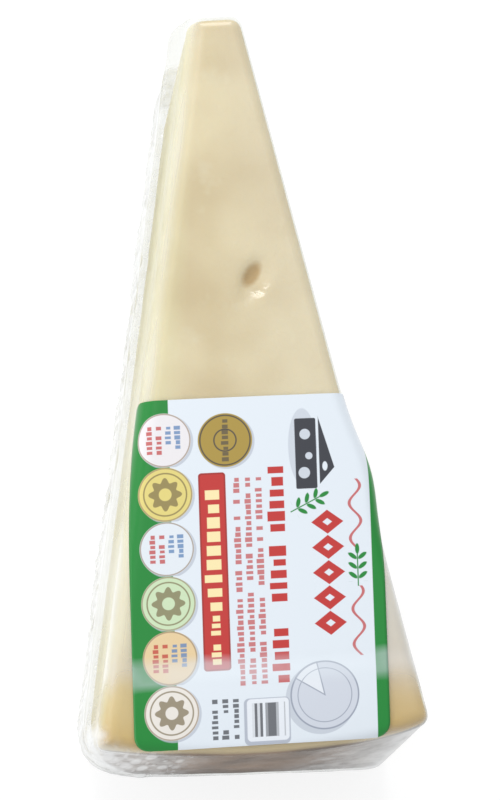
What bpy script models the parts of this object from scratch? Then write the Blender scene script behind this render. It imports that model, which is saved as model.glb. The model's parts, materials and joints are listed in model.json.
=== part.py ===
"""A vacuum-packed wedge of hard cheese with a paper label, lying on its back cut face.

Units are metres and +Z is up. The wedge's middle line runs along Y: its narrow nose points
to +Y and its rind end to -Y. The labelled cut face is on top. Shapes are worked out in the
wheel's own plan: x across the wedge, and a station s, the distance from the wheel's centre
towards the rind, so that y = -s until the finished part is centred on its base.
"""

import math

import bpy
from mathutils import Matrix, Vector, noise

# The wheel and how the piece is cut from it
WHEEL_RADIUS = 0.21
HALF_ANGLE = math.radians(10.8)
NOSE_STATION = 0.0330
DEPTH = 0.105
TAPER = math.tan(HALF_ANGLE)

# The wheel's side slopes in below the shown face, and the film draws its end flat. The
# face's right corner is worn back.
RIND_CORNER = WHEEL_RADIUS * math.cos(HALF_ANGLE)
RIND_BULGE = WHEEL_RADIUS - RIND_CORNER
RIND_LEFT_SLOPE = 0.0065
RIND_RIGHT_SLOPE = 0.0022
RIND_RIGHT_CUT = 0.0017
RIND_CUT_POWER = 6
FILM_FLAT_BULGE = 0.0004

# Rounding of the packed piece
RIM_RADIUS = 0.0028
LEFT_RIM_RADIUS = 0.0048
BASE_RIM_RADIUS = 0.003
NOSE_CORNER = 0.0028
RIND_CORNER_CUT = 0.0026
BASE_LEFT_CORNER_CUT = 0.0170
BASE_RIGHT_CORNER_CUT = 0.0065

# Film standing loose from the sides, reached some way below the face
LOOSE_LEFT = 0.0026
LOOSE_NOSE = 0.0022
LOOSE_START = 0.006
LOOSE_END = 0.026
PLEAT_HEIGHT = 0.0009
PLEATS_PER_METRE = 95.0
PLEATS_DOWN = 22.0

# The face: a slight crown, a crease across it, a fall before the rind, and one open eye
CROWN = 0.0007
CREASE_START = 0.187
CREASE_END = 0.1935
CREASE_HEIGHT = 0.0005
FALL_DROP = 0.0012
WAVE_HEIGHT = 0.00022
WAVE_SCALE = 26.0
EYE_X = 0.0052
EYE_STATION = 0.0972
EYE_HALF_LENGTH = 0.0056
EYE_HALF_WIDTH = 0.0030
EYE_DEPTH = 0.0008
EYE_ANGLE = math.radians(55.0)

# The label, laid a little askew, and wrapped over both long edges near its top
LABEL_WIDTH = 0.0598
LABEL_HEIGHT = 0.0823
LABEL_X = 0.00095
LABEL_STATION = 0.16675
LABEL_LEAN = 0.038
LABEL_SLOPE = 0.014
LABEL_CORNER = 0.0036
LABEL_THICKNESS = 0.0003
LABEL_GAP = 0.00035
LABEL_LIFT = 0.0018
LIFT_STATION = 0.1445
LIFT_HALF_LENGTH = 0.0105

# Mesh fineness
COLUMNS = 20
ROWS = 46
CORNER_STEPS = 3
RIM_STEPS = 4
SIDE_DEPTHS = (0.006, 0.011, 0.018, 0.028, 0.042, 0.056, 0.070, 0.084, 0.095)
LABEL_COLUMNS = 30
LABEL_ROWS = 22
LABEL_CORNER_ROWS = 4


def smooth_step(low, high, value):
    """0 below low, 1 above high, and an S-curve between."""
    t = min(max((value - low) / (high - low), 0.0), 1.0)
    return t * t * (3.0 - 2.0 * t)


def half_width(station):
    """Half the wedge's width at a station."""
    return station * TAPER


def worn_back(across):
    """How far the rind's edge is worn back; across is -1 at its left end and 1 at its right."""
    return RIND_RIGHT_CUT * max(across, 0.0) ** RIND_CUT_POWER


def rind_edge(x):
    """Station of the face's rind end."""
    across = x / half_width(RIND_CORNER)
    return WHEEL_RADIUS - RIND_BULGE * across ** 2 - worn_back(across)


def edge_lift(station):
    """How far the label's stiff top corner holds the film off the right edge."""
    return LABEL_LIFT * math.exp(-((station - LIFT_STATION) / LIFT_HALF_LENGTH) ** 2)


def eye_dip(x, station):
    """How far the film dips over the open eye in the cheese at a point of the face."""
    across = x - EYE_X
    along = station - EYE_STATION
    length = (-across * math.cos(EYE_ANGLE) + along * math.sin(EYE_ANGLE)) / EYE_HALF_LENGTH
    width = (across * math.sin(EYE_ANGLE) + along * math.cos(EYE_ANGLE)) / EYE_HALF_WIDTH
    return EYE_DEPTH * math.exp(-(length ** 2 + width ** 2) ** 1.5)


def face_height(x, station):
    """Height of the face, away from its rounded rim."""
    crease = CREASE_HEIGHT * smooth_step(CREASE_START, CREASE_END, station)
    fall = FALL_DROP * (max(station - CREASE_END, 0.0) / (WHEEL_RADIUS - CREASE_END)) ** 2
    wave = WAVE_HEIGHT * noise.noise(Vector((x * WAVE_SCALE, station * WAVE_SCALE, 3.7)))
    crown = CROWN * (x / half_width(station)) ** 2 * station / WHEEL_RADIUS
    return DEPTH + crease - fall + wave - crown - eye_dip(x, station)


def rim_at(x, station):
    """Radius of the face's rounded rim: larger along the left edge."""
    share = smooth_step(-1.0, -0.2, x / half_width(station))
    return LEFT_RIM_RADIUS + (RIM_RADIUS - LEFT_RIM_RADIUS) * share


def bent(past, bend):
    """How far out and how far down a sheet gets that runs on past the start of a bend."""
    if past <= 0.0:
        return past, 0.0
    angle = min(past / bend, math.pi / 2.0)
    straight = max(past - bend * math.pi / 2.0, 0.0)
    return bend * math.sin(angle), bend * (1.0 - math.cos(angle)) + straight


def looseness(depth):
    """Share of the film's slack reached at a depth below the face."""
    return smooth_step(LOOSE_START, LOOSE_END, depth)


def bezier_corner(start, corner, end, steps):
    """Points of a quadratic curve that rounds a corner, both ends included."""
    points = []
    for step in range(steps + 1):
        t = step / steps
        points.append(start * (1 - t) ** 2 + corner * (2 * t * (1 - t)) + end * t ** 2)
    return points


def corner_cuts(depth):
    """Length cut back at the nose and at the two rind corners, left and right."""
    spread = depth / DEPTH
    left = RIND_CORNER_CUT + (BASE_LEFT_CORNER_CUT - RIND_CORNER_CUT) * spread
    right = RIND_CORNER_CUT + (BASE_RIGHT_CORNER_CUT - RIND_CORNER_CUT) * spread
    return NOSE_CORNER, left, right


def outline(depth, inset, left_inset):
    """The closed plan outline at a depth, as four runs that share their corner points.

    It is drawn in by an inset, which differs on the left side. The runs go nose (right to
    left), left side (to the rind), rind (left to right) and right side (back to the nose),
    each with COLUMNS or ROWS steps.
    """
    slack = looseness(depth)
    spread = depth / DEPTH
    bulge = RIND_BULGE + (FILM_FLAT_BULGE - RIND_BULGE) * spread
    nose_s = NOSE_STATION - LOOSE_NOSE * slack + inset
    left_s = RIND_CORNER - RIND_LEFT_SLOPE * spread - inset
    right_s = RIND_CORNER - RIND_RIGHT_CUT - RIND_RIGHT_SLOPE * spread - inset
    left_out = LOOSE_LEFT * slack - left_inset / math.cos(HALF_ANGLE)
    right_out = -inset / math.cos(HALF_ANGLE)
    nose_cut, left_cut, right_cut = (max(cut - inset, 0.0004) for cut in corner_cuts(depth))

    nose_right = Vector((half_width(nose_s) + right_out, nose_s))
    nose_left = Vector((-half_width(nose_s) - left_out, nose_s))
    rind_left = Vector((-half_width(left_s) - left_out, left_s))
    rind_right = Vector((half_width(right_s) + right_out, right_s))
    corners = (nose_right, nose_left, rind_left, rind_right)
    cuts = (nose_cut, nose_cut, left_cut, right_cut)
    counts = (COLUMNS, ROWS, COLUMNS, ROWS)

    def on_edge(number, t):
        start = corners[number]
        end = corners[(number + 1) % 4]
        point = start.lerp(end, t)
        if number == 2:
            across = 2.0 * t - 1.0
            point.y += bulge * (1.0 - across ** 2)
            point.y += (RIND_RIGHT_CUT * t - worn_back(across)) * (1.0 - spread)
        if number == 3:
            point.x += edge_lift(point.y)
        return point

    def edge_length(number):
        return (corners[(number + 1) % 4] - corners[number]).length

    rounded = []
    for number in range(4):
        before = on_edge(number - 1 if number else 3, 1.0 - cuts[number] / edge_length(number - 1))
        after = on_edge(number, cuts[number] / edge_length(number))
        rounded.append(bezier_corner(before, corners[number], after, 2 * CORNER_STEPS))

    runs = []
    for number in range(4):
        following = (number + 1) % 4
        first = cuts[number] / edge_length(number)
        last = 1.0 - cuts[following] / edge_length(number)
        middle_steps = counts[number] - 2 * CORNER_STEPS
        run = rounded[number][CORNER_STEPS:-1]
        for step in range(middle_steps + 1):
            run.append(on_edge(number, first + (last - first) * step / middle_steps))
        run += rounded[following][1:CORNER_STEPS + 1]
        runs.append(run)
    return runs


def film_pleat(x, station, depth, share):
    """Outward relief of the crumpled film at a point of the sides."""
    place = Vector((x * PLEATS_PER_METRE, station * PLEATS_PER_METRE, depth * PLEATS_DOWN))
    along = noise.noise(place)
    return PLEAT_HEIGHT * share * along * looseness(depth)


def ring_points(depth, inset, left_inset, height):
    """One closed ring of the body: plan points at a depth, each raised to its height."""
    runs = outline(depth, inset, left_inset)
    plan = [point for run in runs for point in run[:-1]]
    count = len(plan)
    points = []
    for index, point in enumerate(plan):
        tangent = plan[(index + 1) % count] - plan[index - 1]
        outward = Vector((-tangent.y, tangent.x)).normalized()
        share = 0.5 if point.x > 0.0 and abs(outward.x) > abs(outward.y) else 1.0
        relief = film_pleat(point.x, point.y, depth, share)
        moved = point + outward * relief
        points.append(Vector((moved.x, -moved.y, height(moved.x, moved.y))))
    return points


def face_grid(runs):
    """Inner face points, blended between the four runs of its border."""
    nose, left, rind, right = runs
    nose = list(reversed(nose))
    right = list(reversed(right))
    rows = []
    for row in range(1, ROWS):
        v = row / ROWS
        line = []
        for column in range(1, COLUMNS):
            u = column / COLUMNS
            between_sides = left[row].lerp(right[row], u)
            between_ends = nose[column].lerp(rind[column], v)
            nose_corners = nose[0].lerp(nose[-1], u)
            rind_corners = rind[0].lerp(rind[-1], u)
            line.append(between_sides + between_ends - nose_corners.lerp(rind_corners, v))
        rows.append(line)
    return rows


def make_body():
    """The sealed bag with the cheese in it, as one closed solid on a flat base."""
    rings = []
    for step in range(RIM_STEPS + 1):
        angle = math.radians(90.0 * step / RIM_STEPS)
        inset = BASE_RIM_RADIUS * (1.0 - math.sin(angle))
        z = BASE_RIM_RADIUS * (1.0 - math.cos(angle))
        rings.append(ring_points(DEPTH, inset, inset, lambda x, s, z=z: z))
    for depth in reversed(SIDE_DEPTHS):
        rings.append(ring_points(depth, 0.0, 0.0, lambda x, s, z=DEPTH - depth: z))
    for step in range(RIM_STEPS + 1):
        angle = math.radians(90.0 * step / RIM_STEPS)
        drawn_in = 1.0 - math.cos(angle)
        fall = 1.0 - math.sin(angle)
        rings.append(ring_points(0.0, RIM_RADIUS * drawn_in, LEFT_RIM_RADIUS * drawn_in,
                                 lambda x, s, fall=fall: face_height(x, s) - rim_at(x, s) * fall))

    count = len(rings[0])
    vertices = [point for ring in rings for point in ring]
    faces = [list(reversed(range(count)))]
    for level in range(len(rings) - 1):
        low = level * count
        high = low + count
        for index in range(count):
            following = (index + 1) % count
            faces.append((low + index, low + following, high + following, high + index))

    top = (len(rings) - 1) * count
    grid_start = len(vertices)
    for line in face_grid(outline(0.0, RIM_RADIUS, LEFT_RIM_RADIUS)):
        vertices += [Vector((p.x, -p.y, face_height(p.x, p.y))) for p in line]

    def grid_vertex(row, column):
        if row == 0:
            return top + (COLUMNS - column)
        if row == ROWS:
            return top + COLUMNS + ROWS + column
        if column == 0:
            return top + COLUMNS + row
        if column == COLUMNS:
            return top + (2 * COLUMNS + ROWS + (ROWS - row)) % count
        return grid_start + (row - 1) * (COLUMNS - 1) + column - 1

    for row in range(ROWS):
        for column in range(COLUMNS):
            faces.append((grid_vertex(row, column), grid_vertex(row + 1, column),
                          grid_vertex(row + 1, column + 1), grid_vertex(row, column + 1)))
    return make_object("bag_with_cheese", vertices, faces, bag_material())


def label_surface(x, station):
    """A point of the label's underside, given its place on the flat sheet.

    Past an edge of the face the sheet bends round the rim and runs on down the side.
    """
    side = 1.0 if x > 0.0 else -1.0
    edge = half_width(station) + (edge_lift(station) if side > 0.0 else 0.0)
    radius = rim_at(side * edge, station)
    flat_x = edge - radius
    out_x, down_x = bent(abs(x) - flat_x, radius + LABEL_GAP)
    reach = side * min(abs(x), flat_x)
    flat_s = rind_edge(reach) - RIM_RADIUS
    out_s, down_s = bent(station - flat_s, RIM_RADIUS + LABEL_GAP)
    placed_s = flat_s + out_s
    height = face_height(reach, placed_s) + LABEL_GAP - down_x - down_s
    return Vector((side * (flat_x + out_x), -placed_s, height))


def make_label():
    """The paper label: a thin sheet with round corners, folded over the wedge's edges."""
    half_height = LABEL_HEIGHT / 2.0
    row_places = []
    for step in range(LABEL_CORNER_ROWS):
        angle = math.radians(90.0 * step / LABEL_CORNER_ROWS)
        row_places.append(half_height - LABEL_CORNER * (1.0 - math.sin(angle)))
    corner_rows = row_places[::-1]
    span = half_height - LABEL_CORNER
    middle = [span - 2.0 * span * row / LABEL_ROWS for row in range(LABEL_ROWS + 1)]
    row_places = sorted({round(v, 7) for v in corner_rows + middle + [-v for v in corner_rows]})
    row_places = [-half_height] + row_places[1:-1] + [half_height]

    vertices = []
    for v in row_places:
        into_corner = max(abs(v) - span, 0.0)
        cut = LABEL_CORNER - math.sqrt(max(LABEL_CORNER ** 2 - into_corner ** 2, 0.0))
        reach = LABEL_WIDTH / 2.0 - cut
        for column in range(LABEL_COLUMNS + 1):
            u = reach * (2.0 * column / LABEL_COLUMNS - 1.0)
            x = LABEL_X + u + LABEL_LEAN * v
            station = LABEL_STATION - v + LABEL_SLOPE * u * (0.5 + v / LABEL_HEIGHT)
            vertices.append(label_surface(x, station))
    width = LABEL_COLUMNS + 1
    faces = []
    for row in range(len(row_places) - 1):
        for column in range(LABEL_COLUMNS):
            low = row * width + column
            faces.append((low, low + 1, low + width + 1, low + width))
    label = make_object("label", vertices, faces, label_material())
    solidify = label.modifiers.new("thickness", "SOLIDIFY")
    solidify.thickness = LABEL_THICKNESS
    solidify.offset = 1.0
    return label


def make_object(name, vertices, faces, material):
    """A smooth-shaded mesh object in the scene."""
    mesh = bpy.data.meshes.new(name)
    mesh.from_pydata([tuple(point) for point in vertices], [], faces)
    mesh.polygons.foreach_set("use_smooth", [True] * len(mesh.polygons))
    mesh.materials.append(material)
    mesh.update()
    made = bpy.data.objects.new(name, mesh)
    bpy.context.scene.collection.objects.link(made)
    return made


def make_material(name, color, roughness):
    """A plain Principled material."""
    material = bpy.data.materials.new(name)
    material.use_nodes = True
    shader = material.node_tree.nodes["Principled BSDF"]
    shader.inputs["Base Color"].default_value = (*color, 1.0)
    shader.inputs["Roughness"].default_value = roughness
    shader.inputs["Metallic"].default_value = 0.0
    return material


def bag_material():
    """Pale cheese seen through glossy film."""
    return make_material("packed_cheese", (0.73, 0.62, 0.41), 0.25)


def label_material():
    """Glossy printed paper."""
    return make_material("label_paper", (0.82, 0.86, 0.92), 0.3)


def centre_on_base(parts):
    """Move the meshes so that the whole part's box is centred on the Z axis."""
    points = [vertex.co for part in parts for vertex in part.data.vertices]
    middle_x = (min(p.x for p in points) + max(p.x for p in points)) / 2.0
    middle_y = (min(p.y for p in points) + max(p.y for p in points)) / 2.0
    for part in parts:
        part.data.transform(Matrix.Translation((-middle_x, -middle_y, 0.0)))


def main():
    for old in list(bpy.data.objects):
        bpy.data.objects.remove(old, do_unlink=True)
    centre_on_base([make_body(), make_label()])


main()
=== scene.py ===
"""Looks of a vacuum-packed wedge of hard cheese: cheese, clear film, label, floor and light.

Shapes are worked out in the wheel's own plan, as in the construction: x across the wedge,
and a station s, the distance from the wheel's centre towards the rind. Depth is measured
down from the labelled face. The frame gives where that plan lies in the world.
"""

import json
import math

import bpy
from mathutils import Matrix, Vector, noise

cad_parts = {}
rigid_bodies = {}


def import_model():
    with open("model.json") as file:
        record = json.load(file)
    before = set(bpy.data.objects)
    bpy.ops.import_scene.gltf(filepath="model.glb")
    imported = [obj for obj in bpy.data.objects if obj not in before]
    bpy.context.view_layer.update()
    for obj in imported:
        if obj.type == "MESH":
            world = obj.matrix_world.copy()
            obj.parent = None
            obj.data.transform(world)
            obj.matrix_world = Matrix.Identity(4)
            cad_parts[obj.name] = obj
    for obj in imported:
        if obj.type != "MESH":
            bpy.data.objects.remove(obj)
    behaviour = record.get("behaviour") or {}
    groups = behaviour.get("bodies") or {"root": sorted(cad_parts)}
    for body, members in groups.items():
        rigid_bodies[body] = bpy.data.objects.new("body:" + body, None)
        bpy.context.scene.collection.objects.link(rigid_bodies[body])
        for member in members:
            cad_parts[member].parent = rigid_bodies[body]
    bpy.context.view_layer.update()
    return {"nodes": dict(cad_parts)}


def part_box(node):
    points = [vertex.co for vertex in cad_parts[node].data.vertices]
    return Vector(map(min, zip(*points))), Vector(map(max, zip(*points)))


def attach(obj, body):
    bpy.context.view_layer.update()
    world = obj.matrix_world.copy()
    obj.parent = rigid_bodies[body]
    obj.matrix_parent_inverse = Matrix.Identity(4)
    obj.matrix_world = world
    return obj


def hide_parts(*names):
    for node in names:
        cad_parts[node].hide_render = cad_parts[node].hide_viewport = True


BAG = "bag_with_cheese"
LABEL = "label"

# The wheel and the cut, as in the construction
WHEEL_RADIUS = 0.21
DEPTH = 0.105
HALF_ANGLE = math.radians(10.8)
TAPER = math.tan(HALF_ANGLE)
NOSE_STATION = 0.0330
RIND_CORNER = WHEEL_RADIUS * math.cos(HALF_ANGLE)
RIND_BULGE = WHEEL_RADIUS - RIND_CORNER
RIND_RIGHT_CUT = 0.0017
RIND_CUT_POWER = 6

# The face: a slight crown, a crease across it, a fall before the rind, and one open eye
CROWN = 0.0007
CREASE_START = 0.187
CREASE_END = 0.1935
CREASE_MIDDLE = 0.1903
CREASE_HEIGHT = 0.0005
FALL_DROP = 0.0012
WAVE_HEIGHT = 0.00022
WAVE_SCALE = 26.0
EYE_X = 0.0054
EYE_STATION = 0.0978
EYE_HALF_LENGTH = 0.0056
EYE_HALF_WIDTH = 0.0030
EYE_DENT = 0.0006
EYE_HOLE_X = 0.0047
EYE_HOLE_STATION = 0.0962
EYE_HOLE_HALF_LENGTH = 0.0036
EYE_HOLE_HALF_WIDTH = 0.0019
EYE_HOLE_DEPTH = 0.0008
EYE_ANGLE = math.radians(55.0)

# Small dimples of the film round the eye: x, station, radius and depth
DIMPLES = (
    (0.0060, 0.1000, 0.0011, 0.00042),
    (0.0082, 0.0957, 0.0007, 0.00018),
    (0.0127, 0.0857, 0.0006, -0.00010),
)

# The label, as in the construction
LABEL_WIDTH = 0.0598
LABEL_HEIGHT = 0.0823
LABEL_X = 0.00095
LABEL_STATION = 0.16675
LABEL_LEAN = 0.038
LABEL_SLOPE = 0.014
LABEL_CORNER = 0.0036
LABEL_THICKNESS = 0.00016
LABEL_GAP = 0.00012
LABEL_LIFT = 0.0018
LIFT_STATION = 0.1445
LIFT_HALF_LENGTH = 0.0105
LABEL_COLUMNS = 90
LABEL_ROWS = 120
LABEL_CORNER_ROWS = 8

# The camera: how far it leans from the face's normal, and its long lens
CAMERA_BACK = math.radians(10.53)
CAMERA_LEFT = math.radians(4.57)
CAMERA_ROLL = math.radians(4.09)
CAMERA_DISTANCE = 1.5
CAMERA_LENS = 287.5
AIM_X = 0.0021
AIM_STATION = 0.1264

# The lit floor, which keeps the ground round the piece almost white
FLOOR_GLOW = 0.785


def srgb(red, green, blue):
    """A colour given as 0 to 255 display values, as linear RGB."""
    linear = []
    for value in (red, green, blue):
        share = value / 255.0
        linear.append(share / 12.92 if share <= 0.04045 else ((share + 0.055) / 1.055) ** 2.4)
    return tuple(linear)


def smooth_step(low, high, value):
    """0 below low, 1 above high, and an S-curve between."""
    t = min(max((value - low) / (high - low), 0.0), 1.0)
    return t * t * (3.0 - 2.0 * t)


def blend(start, end, share):
    return start + (end - start) * share


# Where the plan lies in the world

def find_plan(nodes):
    """The world x of the wedge's middle line, y of the wheel's centre, and z of the face."""
    low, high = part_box(BAG)
    nose = [v.co.x for v in nodes[BAG].data.vertices
            if v.co.y > high.y - 0.012 and v.co.z > high.z - 0.002]
    return Vector(((min(nose) + max(nose)) / 2.0, low.y + WHEEL_RADIUS, DEPTH))


# Shapes shared by the cheese, the film and the label

def half_width(station):
    return station * TAPER


def worn_back(across):
    """How far the rind's edge is worn back; across is -1 at its left end and 1 at its right."""
    return RIND_RIGHT_CUT * max(across, 0.0) ** RIND_CUT_POWER


def rind_edge(x):
    """Station of the face's rind end."""
    across = x / half_width(RIND_CORNER)
    return WHEEL_RADIUS - RIND_BULGE * across ** 2 - worn_back(across)


def edge_lift(station):
    """How far the label's stiff top corner holds the film off the right edge."""
    return LABEL_LIFT * math.exp(-((station - LIFT_STATION) / LIFT_HALF_LENGTH) ** 2)


def eye_shape(x, station, half_length, half_breadth):
    """1 at the middle of a slanting oval and 0 well outside it, given its half sizes."""
    length = (-x * math.cos(EYE_ANGLE) + station * math.sin(EYE_ANGLE)) / half_length
    width = (x * math.sin(EYE_ANGLE) + station * math.cos(EYE_ANGLE)) / half_breadth
    return math.exp(-(length ** 2 + width ** 2) ** 1.5)


def eye_dip(x, station):
    """How far the film is drawn down over the open eye and at a few small dimples."""
    shape = eye_shape(x - EYE_X, station - EYE_STATION, EYE_HALF_LENGTH, EYE_HALF_WIDTH)
    return EYE_DENT * shape + sum(depth * dimple(x, station, *place) for *place, depth in DIMPLES)


def dimple(x, station, middle_x, middle_station, radius):
    """1 at a dimple's middle and 0 outside it."""
    return math.exp(-((x - middle_x) ** 2 + (station - middle_station) ** 2) / radius ** 2)


def dimple_share(x, station, z):
    """Where the film of the face is drawn tight and shiny round its dimples."""
    if z < DEPTH - 0.01:
        return 0.0
    return min(sum(dimple(x, station, *place, 2.5 * radius) for *place, radius, depth in DIMPLES), 1.0)


def eye_hole(x, station):
    """The open eye in the cheese: 1 at its middle."""
    return eye_shape(x - EYE_HOLE_X, station - EYE_HOLE_STATION,
                     EYE_HOLE_HALF_LENGTH, EYE_HOLE_HALF_WIDTH)


def face_height(x, station):
    """Height of the film's face, away from its rounded rim."""
    crease = CREASE_HEIGHT * smooth_step(CREASE_START, CREASE_END, station)
    crease *= smooth_step(-0.95, -0.60, x / half_width(station))
    fall = max(station - CREASE_END, 0.0) / (WHEEL_RADIUS - CREASE_END)
    wave = noise.noise(Vector((x * WAVE_SCALE, station * WAVE_SCALE, 3.7)))
    crown = CROWN * (x / half_width(station)) ** 2 * station / WHEEL_RADIUS
    relief = crease - FALL_DROP * fall ** 2 + WAVE_HEIGHT * wave - crown
    return DEPTH + relief - eye_dip(x, station)


def bent(past, bend):
    """How far out and how far down a sheet gets that runs on past the start of a bend."""
    if past <= 0.0:
        return past, 0.0
    angle = min(past / bend, math.pi / 2.0)
    straight = max(past - bend * math.pi / 2.0, 0.0)
    return bend * math.sin(angle), bend * (1.0 - math.cos(angle)) + straight


class Wrap:
    """How one layer goes round the wedge: its roundings, its slack and its fineness."""

    def __init__(self, columns, rows, corner_steps, rim_steps, side_steps, rim, left_rim,
                 base_rim, nose_corner, rind_corner, base_corners, slope_in, flat_bulge, slack,
                 lift, inside, nose_inside):
        self.columns = columns
        self.rows = rows
        self.corner_steps = corner_steps
        self.rim_steps = rim_steps
        self.side_steps = side_steps
        self.rim = rim
        self.left_rim = left_rim
        self.base_rim = base_rim
        self.nose_corner = nose_corner
        self.rind_corner = rind_corner
        self.base_corners = base_corners
        self.slope_in = slope_in
        self.flat_bulge = flat_bulge
        self.slack = slack
        self.lift = lift
        self.inside = inside
        self.nose_inside = nose_inside

    def rim_at(self, x, station):
        """Rim radius: larger along the left edge."""
        share = smooth_step(-1.0, -0.2, x / half_width(station))
        return blend(self.left_rim, self.rim, share)

    def outline(self, depth, rim, left_rim):
        """The closed plan outline at a depth, drawn in by a rim's width there.

        Four runs that share their corner points: nose (right to left), left side (to the
        rind), rind (left to right) and right side (back to the nose).
        """
        slack = smooth_step(0.004, 0.026, depth)
        spread = depth / DEPTH
        loose_left, loose_nose = (amount * slack for amount in self.slack)
        left_slope, right_slope = (amount * spread for amount in self.slope_in)
        bulge = blend(RIND_BULGE, self.flat_bulge, spread)
        inset = rim + self.inside
        left_inset = left_rim + self.inside
        nose_s = NOSE_STATION - loose_nose + inset + self.nose_inside
        left_s = RIND_CORNER - left_slope - inset
        right_s = RIND_CORNER - RIND_RIGHT_CUT - right_slope - inset
        left_out = loose_left - left_inset / math.cos(HALF_ANGLE)
        right_out = -inset / math.cos(HALF_ANGLE)
        left_cut, right_cut = (blend(self.rind_corner, cut, spread) for cut in self.base_corners)
        cuts = (self.nose_corner, self.nose_corner, left_cut, right_cut)
        cuts = [max(cut - inset, 0.0006) for cut in cuts]
        corners = (
            Vector((half_width(nose_s) + right_out, nose_s)),
            Vector((-half_width(nose_s) - left_out, nose_s)),
            Vector((-half_width(left_s) - left_out, left_s)),
            Vector((half_width(right_s) + right_out, right_s)),
        )
        counts = (self.columns, self.rows, self.columns, self.rows)

        def on_edge(number, t):
            point = corners[number].lerp(corners[(number + 1) % 4], t)
            if number == 2:
                across = 2.0 * t - 1.0
                point.y += bulge * (1.0 - across ** 2)
                point.y += (RIND_RIGHT_CUT * t - worn_back(across)) * (1.0 - spread)
            if number == 3:
                point.x += self.lift * edge_lift(point.y)
            return point

        def cut_share(number, corner):
            return cuts[corner] / (corners[(number + 1) % 4] - corners[number]).length

        rounded = []
        for number in range(4):
            before = on_edge((number + 3) % 4, 1.0 - cut_share((number + 3) % 4, number))
            after = on_edge(number, cut_share(number, number))
            rounded.append(bezier_corner(before, corners[number], after, 2 * self.corner_steps))

        runs = []
        for number in range(4):
            following = (number + 1) % 4
            first = cut_share(number, number)
            last = 1.0 - cut_share(number, following)
            middle_steps = counts[number] - 2 * self.corner_steps
            run = rounded[number][self.corner_steps:-1]
            for step in range(middle_steps + 1):
                run.append(on_edge(number, blend(first, last, step / middle_steps)))
            run += rounded[following][1:self.corner_steps + 1]
            runs.append(run)
        return runs

    def rings(self, relief, sink):
        """Closed rings from the base up to the face's rim, in plan coordinates.

        relief(point, outward, depth) moves a side point outwards, and sink(x, station)
        lowers the face.
        """
        levels = []
        for step in range(self.rim_steps + 1):
            angle = math.radians(90.0 * step / self.rim_steps)
            drawn_in = self.base_rim * (1.0 - math.sin(angle))
            z = self.inside + self.base_rim * (1.0 - math.cos(angle))
            levels.append((DEPTH, drawn_in, drawn_in, z, None))
        for step in range(1, self.side_steps):
            z = blend(self.base_rim + self.inside, DEPTH - self.left_rim, step / self.side_steps)
            levels.append((DEPTH - z, 0.0, 0.0, z, None))
        for step in range(self.rim_steps + 1):
            angle = math.radians(90.0 * step / self.rim_steps)
            drawn_in = 1.0 - math.cos(angle)
            levels.append((0.0, self.rim * drawn_in, self.left_rim * drawn_in, None, 1.0 - math.sin(angle)))

        rings = []
        for depth, rim, left_rim, z, fall in levels:
            plan = [point for run in self.outline(depth, rim, left_rim) for point in run[:-1]]
            ring = []
            for index, point in enumerate(plan):
                tangent = plan[(index + 1) % len(plan)] - plan[index - 1]
                outward = Vector((-tangent.y, tangent.x)).normalized()
                moved = point + outward * relief(point, outward, depth)
                if z is None:
                    radius = self.rim_at(*moved)
                    height = face_height(*moved) - radius * fall - sink(*moved)
                else:
                    height = z
                ring.append(Vector((moved.x, moved.y, height)))
            rings.append(ring)
        return rings

    def face_grid(self, sink):
        """Inner face points, blended between the four runs of its border."""
        nose, left, rind, right = self.outline(0.0, self.rim, self.left_rim)
        nose = nose[::-1]
        right = right[::-1]
        rows = []
        for row in range(1, self.rows):
            v = row / self.rows
            line = []
            for column in range(1, self.columns):
                u = column / self.columns
                sides = left[row].lerp(right[row], u)
                ends = nose[column].lerp(rind[column], v)
                corners = nose[0].lerp(nose[-1], u).lerp(rind[0].lerp(rind[-1], u), v)
                point = sides + ends - corners
                line.append(Vector((*point, face_height(*point) - sink(*point))))
            rows.append(line)
        return rows

    def mesh_data(self, relief, sink):
        """Vertices and faces of the whole closed layer, in plan coordinates."""
        rings = self.rings(relief, sink)
        count = len(rings[0])
        vertices = [point for ring in rings for point in ring]
        faces = [tuple(reversed(range(count)))]
        for level in range(len(rings) - 1):
            low = level * count
            for index in range(count):
                following = (index + 1) % count
                faces.append((low + index, low + following,
                              low + count + following, low + count + index))
        top = (len(rings) - 1) * count
        start = len(vertices)
        for line in self.face_grid(sink):
            vertices += line

        def grid_vertex(row, column):
            if row == 0:
                return top + self.columns - column
            if row == self.rows:
                return top + self.columns + self.rows + column
            if column == 0:
                return top + self.columns + row
            if column == self.columns:
                return top + 2 * self.columns + self.rows + self.rows - row
            return start + (row - 1) * (self.columns - 1) + column - 1

        for row in range(self.rows):
            for column in range(self.columns):
                faces.append((grid_vertex(row, column), grid_vertex(row + 1, column),
                              grid_vertex(row + 1, column + 1), grid_vertex(row, column + 1)))
        return vertices, faces


def bezier_corner(start, corner, end, steps):
    """Points of a quadratic curve that rounds a corner, both ends included."""
    points = []
    for step in range(steps + 1):
        t = step / steps
        points.append(start * (1 - t) ** 2 + corner * (2 * t * (1 - t)) + end * t ** 2)
    return points


def make_mesh_object(name, vertices, faces, material, plan):
    """A smooth mesh object whose plan coordinates are put where the frame says."""
    mesh = bpy.data.meshes.new(name)
    placed = [(plan.x + p.x, plan.y - p.y, p.z) for p in vertices]
    mesh.from_pydata(placed, [], faces)
    mesh.polygons.foreach_set("use_smooth", [True] * len(mesh.polygons))
    mesh.materials.append(material)
    mesh.update()
    made = bpy.data.objects.new(name, mesh)
    bpy.context.scene.collection.objects.link(made)
    return made


# Stretches of a texture that draw it out along the sides' upright direction
UPRIGHT = (1.0, 1.0, 0.14)
TALL = (1.0, 1.0, 0.08)


# Node helpers

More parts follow.
